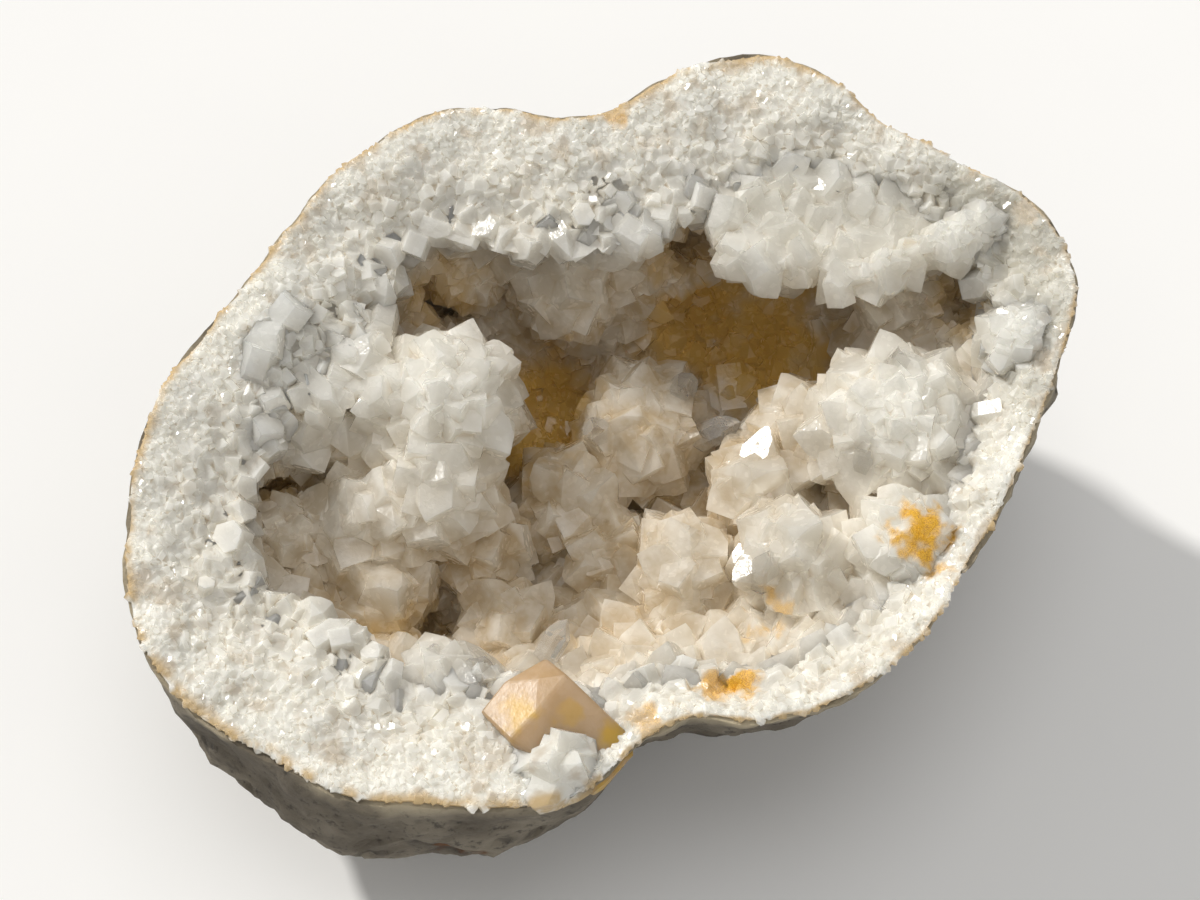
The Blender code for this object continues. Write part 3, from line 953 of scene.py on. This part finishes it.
def clear_finish():
    """Clear quartz with a few veils."""
    made, tree, shader = new_material("clear_quartz")
    veils = grouped(tree, veil_group(), Cloud_Size=500.0, Step_Size=1800.0)
    colour = mixed(tree, veils.outputs["Cloud"], CLEAR, CLEAR_VEIL)
    tree.links.new(colour, shader.inputs["Base Color"])
    rough = ranged(tree, veils.outputs["Cloud"], 0.2, 3.0)
    tree.links.new(rough, shader.inputs["Roughness"])
    in_relief(tree, shader, veils.outputs["Steps"], 0.2, 0.0002)
    shader.inputs["IOR"].default_value = QUARTZ_IOR
    shader.inputs["Transmission Weight"].default_value = 0.85
    return made


def skin_finish(colours):
    """The stone's weathered brown skin, with dark bands and crevices and a pale crumbling edge."""
    made, tree, shader = new_material("weathered_skin")
    pale, brown, dark = colours
    place = add(tree, "ShaderNodeTexCoord").outputs["Object"]
    broad = add(tree, "ShaderNodeTexNoise", {"Vector": place, "Scale": 110.0, "Detail": 7.0})
    fine = add(
        tree,
        "ShaderNodeTexNoise",
        {"Vector": place, "Scale": 900.0, "Detail": 8.0, "Roughness": 0.7},
    )
    squash = add(tree, "ShaderNodeVectorMath", {1: (0.55, 0.55, 1.3)}, operation="MULTIPLY")
    tree.links.new(place, squash.inputs[0])
    bands = add(
        tree,
        "ShaderNodeTexNoise",
        {"Vector": squash.outputs["Vector"], "Scale": 260.0, "Detail": 6.0, "Distortion": 0.6},
    )
    colour = mixed(tree, ranged(tree, broad.outputs["Fac"], 0.38, 0.64), brown, pale)
    banded = calc(tree, "MULTIPLY", ranged(tree, bands.outputs["Fac"], 0.52, 0.68), 0.65)
    colour = mixed(tree, banded, colour, dark)
    pitted = calc(tree, "MULTIPLY", ranged(tree, fine.outputs["Fac"], 0.47, 0.34), 0.7)
    colour = mixed(tree, pitted, colour, dark)
    colour = patches(tree, colour, RUST_HOLES, HOLE_RUST, 0.5, 500.0)
    depth = grouped(tree, depth_group(), Full_Depth=EDGE_DEPTH)
    edge = calc(tree, "SUBTRACT", 1.0, depth.outputs["Depth"], clamp=True)
    wander = ranged(tree, broad.outputs["Fac"], 0.3, 0.62)
    edge = calc(tree, "MULTIPLY", calc(tree, "MULTIPLY", edge, wander), 0.9)
    colour = mixed(tree, edge, colour, CRUMBLING_EDGE)
    tree.links.new(colour, shader.inputs["Base Color"])
    shader.inputs["Roughness"].default_value = 0.85
    in_relief(tree, shader, fine.outputs["Fac"], 1.0, 0.0008)
    return made


def floor_finish():
    made, tree, shader = new_material("pale_floor")
    place = add(tree, "ShaderNodeTexCoord").outputs["Object"]
    grain = add(tree, "ShaderNodeTexNoise", {"Vector": place, "Scale": 40.0, "Detail": 2.0})
    colour = mixed(tree, grain.outputs["Fac"], *FLOOR_TINTS)
    tree.links.new(colour, shader.inputs["Base Color"])
    shader.inputs["Roughness"].default_value = 0.9
    return made


# Settings


def size_setting(title, about, value):
    return bpy.props.FloatProperty(
        name=title, description=about, default=value, min=0.0001, unit="LENGTH", precision=4
    )


def colour_setting(title, about, value):
    return bpy.props.FloatVectorProperty(
        name=title, description=about, default=value, size=4, min=0, max=1, subtype="COLOR"
    )


class GeodeSizes(bpy.types.PropertyGroup):
    largest: size_setting("Largest crystal", "Half the width of the widest crystals", 0.0031)
    smallest: size_setting("Smallest crystal", "Half the width of the small crystals", 0.0009)
    grain: size_setting("Rim grain", "Half the width of the grains on the broken rim", 0.0006)


class GeodeColours(bpy.types.PropertyGroup):
    white: colour_setting("White quartz", "Quartz in full light", (0.95, 0.935, 0.86, 1))
    # The colour of the painted shade down in the hollow.
    hollow_shade: colour_setting("Warm quartz", "Quartz down in the hollow", (0.42, 0.325, 0.205, 1))
    # The colour of the painted shade and painted amber glow deep in the caves.
    cave_shade: colour_setting("Amber depth", "Quartz in the deep caves", (0.56, 0.36, 0.10, 1))
    iron: colour_setting("Iron stain", "Rusty patches", (0.70, 0.41, 0.045, 1))
    stained: colour_setting("Stained crystal", "The big crystal", (0.56, 0.36, 0.18, 1))
    pale_skin: colour_setting("Pale skin", "Light parts of the skin", (0.30, 0.262, 0.20, 1))
    brown_skin: colour_setting("Brown skin", "Main colour of the skin", (0.16, 0.135, 0.10, 1))
    dark_skin: colour_setting("Dark skin", "Crevices of the skin", (0.045, 0.038, 0.032, 1))


def quartz_colours(dim):
    """The white, dimmed by a factor, the colours of the painted shade in the hollow and in the caves,
    and the iron colour of the quartz.
    """
    colours = bpy.context.scene.geode_colours
    white = [dim * value for value in colours.white[:3]] + [1]
    return white, tuple(colours.hollow_shade), tuple(colours.cave_shade), tuple(colours.iron)


# Pieces


def lobe_ball(name, x, y, z, radius, detail, reach_back):
    """A smooth lumpy ball, drawn out to the wall behind it by reach_back."""
    middle = Vector((x, y, z))
    behind = (middle - Vector(LOBE_SOURCE)).normalized()

    def point_of(direction):
        reach = max(0.0, direction.dot(behind)) * reach_back
        place = middle + direction * radius + behind * reach
        return place + direction * SMALL_LOBE_BUMP * bump(*place, SMALL_LOBE_BUMP_SIZE)

    return ball(name, point_of, detail)


def limit_point(direction, inset, deep_inset):
    """A point of the stone's outside, drawn in further under the rim, to keep crystals inside."""
    place = stone_point(direction, inset)
    depth = rim_plane(place.x, place.y) - place.z
    further = min(deep_inset - inset, max(0.0, depth - LIMIT_STARTS))
    return place - Vector((place.x, place.y, 0)).normalized() * further


def broken_lobe(x, y):
    """Whether the lobes here were broken off level with the rim."""
    far = x > BROKEN_FAR[0] and y > BROKEN_FAR[1]
    ear = x < BROKEN_EAR[0] and y > BROKEN_EAR[1]
    return far or ear


def sky_ball(over_lobes=0.0):
    """The space over the broken face, level across the mouth but over the whole lobes."""

    def point_of(direction):
        angle = math.atan2(direction.y, direction.x)
        across = math.hypot(direction.x, direction.y)
        mouth = turned(RIM_RADIUS, angle) - turned(RIM_WIDTH, angle)
        out = (turned(RIM_RADIUS, angle) + FACE_OVERRUN) * across
        x, y = out * math.cos(angle), out * math.sin(angle)
        if direction.z > 0:
            return Vector((x, y, rim_plane(x, y) + SKY_RISE * direction.z))
        level = broken_face(x, y) if out > mouth else rim_plane(x, y) - RIM_DIP
        level += 0.0 if broken_lobe(x, y) else over_lobes
        return Vector((x, y, level + 0.02 * (1 + direction.z)))

    return ball("sky", point_of, FACE_DETAIL)


def open_space():
    """The open space of the hollow with its caves."""
    space = ball("space", lambda direction: air_point(direction, CRUST_SUNK), FACE_DETAIL)
    caves = [lobe_ball("cave", *cave, LOBE_DETAIL, 0.0) for cave in CAVES]
    combine(space, "UNION", caves)
    return space


class GEODE_OT_skin(bpy.types.Operator):
    """Build the stone shell with its weathered skin"""

    bl_idname = "geode.skin"
    bl_label = "Stone skin"

    def execute(self, context):
        def point_of(direction):
            place = stone_point(direction)
            if direction.z > 0.05:
                return place
            outward = Vector((place.x, place.y, (place.z - RIM_HEIGHT) * LUMP_LEAN)).normalized()
            rough = sum(height * bump(*place, size) for height, size in SKIN_RELIEF)
            ledge = math.sin(place.z * LEDGE_TURNS + 3 * bump(*place, LEDGE_WANDER))
            breaks = 0.5 + bump(place.x, place.y + 60, place.z, LEDGE_BREAK)
            rough += max(0.0, LEDGE_HEIGHT * ledge) * breaks
            depth = rim_plane(place.x, place.y) - place.z
            pit = max(0.0, bump(place.x + 40, place.y, place.z, PIT_SIZE) - PIT_RARITY)
            pit *= -PIT_DEPTH * min(1.0, max(0.0, (depth - PIT_TOP) / PIT_FADE))
            share = min(1.0, max(0.0, -6 * direction.z + 0.4))
            place += outward * (rough + pit) * share
            place.z = max(0.0, place.z)
            return place

        shell = ball("shell_blank", point_of, SKIN_DETAIL)
        hollow = ball("hollow", hollow_point, CRUST_DETAIL)
        air = ball("air", lambda way: air_point(way, SKIN_SUNK), FACE_DETAIL)
        inner_wall = BVHTree.FromObject(hollow, context.evaluated_depsgraph_get())
        combine(shell, "DIFFERENCE", [hollow, air])
        keep_largest(shell)
        colours = context.scene.geode_colours
        finish = skin_finish(
            tuple(tuple(c) for c in (colours.pale_skin, colours.brown_skin, colours.dark_skin))
        )
        finished(shell, "stone_skin", finish, "stone", "shell")
        lining = quartz(
            "wall_quartz",
            dim=0.8,
            caves=CAVE_SHADE_SPOTS,
            glassy=(),
            stains=(),
            depth_shade=1.0,
            shade_and_highlight=0.4,
            cloud=260.0,
            milk=0.0,
            reach=0.003,
        )
        shell.data.materials.append(lining)
        for face in shell.data.polygons:
            if inner_wall.find_nearest(face.center)[3] < ON_THE_WALL:
                face.material_index = 1
        return {"FINISHED"}


class GEODE_OT_druse(bpy.types.Operator):
    """Grow the pointed crystals that line the hollow"""

    bl_idname = "geode.druse"
    bl_label = "Hollow crystals"

    def execute(self, context):
        sizes = context.scene.geode_sizes
        rng = random.Random(DRUSE_SEED)
        crust = ball("crust", lambda way: hollow_point(way, CRUST_GAP), CRUST_DETAIL)
        outside = BVHTree.FromObject(crust, bpy.context.evaluated_depsgraph_get())
        lobes = [lobe_ball("lobe", *lobe, LOBE_DETAIL, LOBE_REACH) for lobe in LOBES]
        space = open_space()
        combine(space, "DIFFERENCE", lobes)
        combine(crust, "DIFFERENCE", [space])
        keep_largest(crust)

        def wanted(middle, facing):
            x, y, z = in_stone(middle)
            angle = math.atan2(y, x)
            mouth = turned(RIM_RADIUS, angle) - turned(RIM_WIDTH, angle)
            under_rim = abs(z - broken_face(x, y) + CRUST_SUNK) < UNDER_THE_RIM
            if math.hypot(x, y) > mouth - UNDER_THE_RIM and under_rim:
                return False
            return outside.find_nearest(middle)[3] > OFF_THE_WALL

        def size_of(place, rng):
            x, y, z = in_stone(place)
            share = min(1.0, max(0.0, (rim_plane(x, y) - z) / FULL_SIZE_DEPTH))
            spread = sizes.largest - sizes.smallest
            size = rng.uniform(0, 1) ** SMALL_ONES * spread + sizes.smallest
            here = Vector((x, y, z))
            in_cave = any(
                (here - Vector(middle)).length < radius + CAVE_EDGE for *middle, radius in CAVES
            )
            return size * (0.4 + 0.6 * share) * (CAVE_SHARE if in_cave else 1)

        places, normals = surface_samples(crust, wanted, DRUSE.tries, DRUSE.seed)
        seeds = settle(places, normals, size_of, DRUSE.apart, rng)
        shapes = [crystal_mesh(f"point_{k}", rng) for k in range(SHAPES)]
        grow(crust, seeds, DRUSE.lean, DRUSE.rise, rng, shapes)
        limit = ball("limit", lambda way: limit_point(way, *CRUST_LIMITS), CRUST_DETAIL)
        combine(crust, "INTERSECT", [limit])
        combine(crust, "DIFFERENCE", [sky_ball(WHOLE_LOBES)])
        keep_largest(crust)

        def broken(middle, facing):
            x, y, z = in_stone(middle)
            level = broken_face(x, y) if inward_share(x, y) < 1 else rim_plane(x, y) - RIM_DIP
            return facing.normalized().z > 0.95 and abs(z - level) < 0.2 and broken_lobe(x, y)

        def grain_size(place, rng):
            return sizes.grain * rng.uniform(*LOBE_GRAIN_SPREAD)

        cover(crust, broken, grain_size, LOBE_GRAINS, rng, shapes)
        keep_largest(crust)
        finish = quartz(
            "hollow_quartz",
            dim=0.58,
            caves=CAVE_SHADE_SPOTS,
            glassy=GLASSY_LOBES,
            stains=IRON_STAINS,
            depth_shade=1.0,
            shade_and_highlight=0.42,
            cloud=260.0,
            milk=0.82,
            reach=0.008,
        )
        finished(crust, "hollow_crystals", finish, "quartz", "crystal_crust")
        return {"FINISHED"}


class GEODE_OT_rim(bpy.types.Operator):
    """Cover the broken rim with sugary grains of quartz"""

    bl_idname = "geode.rim"
    bl_label = "Rim grains"

    def execute(self, context):
        sizes = context.scene.geode_sizes
        rng = random.Random(RIM_SEED)

        def bed_point(direction):
            angle = math.atan2(direction.y, direction.x)
            edge = turned(RIM_RADIUS, angle) - BED_EDGE
            if direction.z > 0:
                return lid_point(direction, edge, OVER_FACE)
            out = edge * math.hypot(direction.x, direction.y)
            x, y = out * math.cos(angle), out * math.sin(angle)
            return Vector((x, y, broken_face(x, y) - BED_DEPTH * min(1.0, -6 * direction.z)))

        bed = ball("bed", bed_point, FACE_DETAIL)
        air = ball("air", air_point, FACE_DETAIL)
        combine(bed, "DIFFERENCE", [air])
        keep_largest(bed)

        teeth = []
        angle = 0.0
        while angle < math.tau:
            width = turned(RIM_WIDTH, angle)
            size = min(rng.uniform(*TOOTH_SIZES), TOOTH_SHARE * width)
            mouth = turned(RIM_RADIUS, angle) - width
            across = Vector((math.cos(angle), math.sin(angle), 0))
            place = across * (mouth + rng.uniform(*TOOTH_PLACES) * size)
            place.z = broken_face(place.x, place.y) - rng.uniform(*TOOTH_DEPTHS) * size
            teeth.append((size * MM, in_metres(place), -across))
            angle += rng.uniform(*TOOTH_STEPS) * size / mouth
        shapes = [crystal_mesh(f"grain_{k}", rng, GRAIN_STRETCH) for k in range(SHAPES)]
        grow(bed, teeth, TOOTH_LEAN, TOOTH_RISE, rng, shapes)
        limit = ball("limit", lambda way: limit_point(way, *TEETH_LIMITS), FACE_DETAIL)
        combine(bed, "INTERSECT", [limit])
        combine(bed, "DIFFERENCE", [sky_ball()])
        keep_largest(bed)

        def wanted(middle, facing):
            x, y, z = in_stone(middle)
            flat = facing.normalized().z > 0.5 and z > broken_face(x, y) - GRAINS_DOWN_TO
            return flat and inward_share(x, y) < rng.uniform(*GRAINS_END)

        def size_of(place, rng):
            x, y, z = in_stone(place)
            share = min(MOUTH_SHARE, max(0.0, inward_share(x, y)))
            size = sizes.grain * (LEAST_GRAIN + MOUTH_GAIN * share**2 * rng.uniform(0, 1))
            return min(size, GRAIN_SHARE * MM * turned(RIM_WIDTH, math.atan2(y, x)))

        cover(bed, wanted, size_of, RIM_GRAINS, rng, shapes)
        limit = ball("limit", lambda way: limit_point(way, *GRAIN_LIMITS), FACE_DETAIL)
        combine(bed, "INTERSECT", [limit])
        keep_largest(bed)
        finish = quartz(
            "rim_quartz",
            dim=0.64,
            caves=(),
            glassy=GLASSY_PLACES,
            stains=IRON_STAINS,
            depth_shade=0.8,
            shade_and_highlight=0.62,
            cloud=500.0,
            milk=0.9,
            reach=0.002,
        )
        finished(bed, "rim_crystals", finish, "quartz")
        return {"FINISHED"}


class GEODE_OT_clear(bpy.types.Operator):
    """Scatter a few glass-clear crystals over the milky ones"""

    bl_idname = "geode.clear"
    bl_label = "Clear crystals"

    def execute(self, context):
        rng = random.Random(CLEAR_SEED)
        crystals = []
        for x, y, z, size, lean in CLEAR_CRYSTALS:
            mesh = crystal_mesh("clear", rng, CLEAR_STRETCH)
            crystal = bpy.data.objects.new("clear", mesh)
            up = Vector(lean).to_track_quat("Z", "Y").to_matrix().to_4x4()
            scale = Matrix.Diagonal((size * MM, size * MM, size * MM * CLEAR_LENGTH, 1))
            crystal.matrix_world = Matrix.Translation(in_metres(Vector((x, y, z)))) @ up @ scale
            context.scene.collection.objects.link(crystal)
            crystals.append(crystal)
        first = crystals.pop(0)
        for crystal in (first, *crystals):
            crystal.data.transform(crystal.matrix_world)
            crystal.matrix_world = Matrix.Identity(4)
        combine(first, "UNION", crystals)
        finished(first, "clear_crystals", clear_finish(), "quartz")
        return {"FINISHED"}


class GEODE_OT_stained(bpy.types.Operator):
    """Set the big stained crystal and the white chunk in the near rim"""

    bl_idname = "geode.stained"
    bl_label = "Stained crystal"

    def execute(self, context):
        blocky = hull_of("blocky", STAINED_CORNERS)
        bevel = blocky.modifiers.new("soft_edges", "BEVEL")
        bevel.width = WORN_EDGE
        bevel.segments = 2
        bevel.limit_method = "ANGLE"
        bevel.angle_limit = math.radians(20)
        apply_modifiers(blocky)
        limit = ball("limit", lambda way: stone_point(way, STAINED_INSET), CRUST_DETAIL)
        combine(blocky, "INTERSECT", [limit])
        colours = context.scene.geode_colours
        finish = stained_finish(tuple(colours.stained), tuple(colours.iron))
        finished(blocky, "stained_crystal", finish, "quartz")

        rng = random.Random(CHUNK_SEED)

        def chunk_point(direction):
            reach = 1 + 0.35 * bump(*(direction * 5 + Vector((3, 1, 7))), 4.0)
            size = Vector(share * most for share, most in zip(direction, CHUNK_REACH))
            return Vector(CHUNK_MIDDLE) + size * reach

        chunk = ball("chunk", chunk_point, CHUNK_DETAIL)
        shapes = [crystal_mesh(f"chunk_{k}", rng) for k in range(CHUNK_SHAPES)]
        cover(
            chunk,
            lambda middle, facing: True,
            lambda place, rng: rng.uniform(*CHUNK_POINT_SIZES),
            CHUNK_POINTS,
            rng,
            shapes,
        )
        limit = ball("limit", lambda way: limit_point(way, *CHUNK_LIMITS), FACE_DETAIL)
        combine(chunk, "INTERSECT", [limit])
        keep_largest(chunk)
        finish = quartz(
            "chunk_quartz",
            dim=0.7,
            caves=(),
            glassy=(),
            stains=CHUNK_STAINS,
            depth_shade=0.2,
            shade_and_highlight=0.5,
            cloud=420.0,
            milk=0.8,
            reach=0.003,
        )
        finished(chunk, "white_chunk", finish, "quartz")
        return {"FINISHED"}


def light_fill(tree):
    """A white backdrop that gives a weaker light than it shows."""
    sky = tree.nodes["Background"]
    sky.inputs["Color"].default_value = BACKDROP_COLOUR
    path = add(tree, "ShaderNodeLightPath")
    shown = calc(tree, "MULTIPLY", path.outputs["Is Camera Ray"], BACKDROP_SHOWN)
    tree.links.new(calc(tree, "ADD", shown, BACKDROP_LIGHT), sky.inputs["Strength"])


def place_lamp(scene, data, place):
    lamp = bpy.data.objects.new(data.name, data)
    lamp.location = place
    aim = Vector(LOOK_AT) - Vector(place)
    lamp.rotation_euler = aim.to_track_quat("-Z", "Y").to_euler()
    scene.collection.objects.link(lamp)


class GEODE_OT_stage(bpy.types.Operator):
    """Set up the floor, the lights and the camera"""

    bl_idname = "geode.stage"
    bl_label = "Stage"

    def execute(self, context):
        scene = context.scene
        sheet = bmesh.new()
        bmesh.ops.create_circle(sheet, cap_ends=True, segments=96, radius=FLOOR_RADIUS)
        mesh = bpy.data.meshes.new("floor")
        sheet.to_mesh(mesh)
        sheet.free()
        floor = bpy.data.objects.new("floor", mesh)
        scene.collection.objects.link(floor)
        mesh.materials.append(floor_finish())

        world = bpy.data.worlds.new("studio")
        world.use_nodes = True
        scene.world = world
        light_fill(world.node_tree)
        for name, place, width, power, colour in AREA_LIGHTS:
            data = bpy.data.lights.new(name, "AREA")
            data.shape = "DISK"
            data.size = width
            data.energy = power
            data.color = colour
            place_lamp(scene, data, place)
        sun = bpy.data.lights.new("key", "SUN")
        sun.energy = SUN_STRENGTH
        sun.angle = math.radians(SUN_WIDTH)
        sun.color = SUN_COLOUR
        place_lamp(scene, sun, SUN_PLACE)

        azimuth = math.radians(CAMERA_AZIMUTH)
        elevation = math.radians(CAMERA_ELEVATION)
        back = Vector((
            math.sin(azimuth) * math.cos(elevation),
            -math.cos(azimuth) * math.cos(elevation),
            math.sin(elevation),
        ))
        data = bpy.data.cameras.new("photo_view")
        data.lens = CAMERA_LENS
        data.clip_start = 0.01
        camera = bpy.data.objects.new("photo_view", data)
        target = Vector((-MIDDLE[0] * MM, -MIDDLE[1] * MM, LOOK_AT[2]))
        camera.location = target + back * CAMERA_DISTANCE
        camera.rotation_euler = back.to_track_quat("Z", "Y").to_euler()
        scene.collection.objects.link(camera)
        scene.camera = camera
        scene.view_settings.view_transform = "Standard"
        return {"FINISHED"}


class GEODE_PT_panel(bpy.types.Panel):
    """The geode's pieces and settings"""

    bl_idname = "GEODE_PT_panel"
    bl_label = "Geode half"
    bl_space_type = "VIEW_3D"
    bl_region_type = "UI"
    bl_category = "Geode"

    def draw(self, context):
        layout = self.layout
        for settings in (context.scene.geode_sizes, context.scene.geode_colours):
            for key in settings.__annotations__:
                layout.prop(settings, key)
        for operator in STEPS:
            layout.operator(operator.bl_idname)


STEPS = (
    GEODE_OT_skin,
    GEODE_OT_druse,
    GEODE_OT_rim,
    GEODE_OT_clear,
    GEODE_OT_stained,
    GEODE_OT_stage,
)
CLASSES = (GeodeSizes, GeodeColours, *STEPS, GEODE_PT_panel)


def register():
    for kind in CLASSES:
        bpy.utils.register_class(kind)
    bpy.types.Scene.geode_sizes = bpy.props.PointerProperty(type=GeodeSizes)
    bpy.types.Scene.geode_colours = bpy.props.PointerProperty(type=GeodeColours)


def unregister():
    del bpy.types.Scene.geode_sizes
    del bpy.types.Scene.geode_colours
    for kind in reversed(CLASSES):
        bpy.utils.unregister_class(kind)


def main():
    register()
    bpy.ops.geode.skin()
    bpy.ops.geode.druse()
    bpy.ops.geode.rim()
    bpy.ops.geode.clear()
    bpy.ops.geode.stained()
    bpy.ops.geode.stage()


if __name__ == "__main__":
    main()
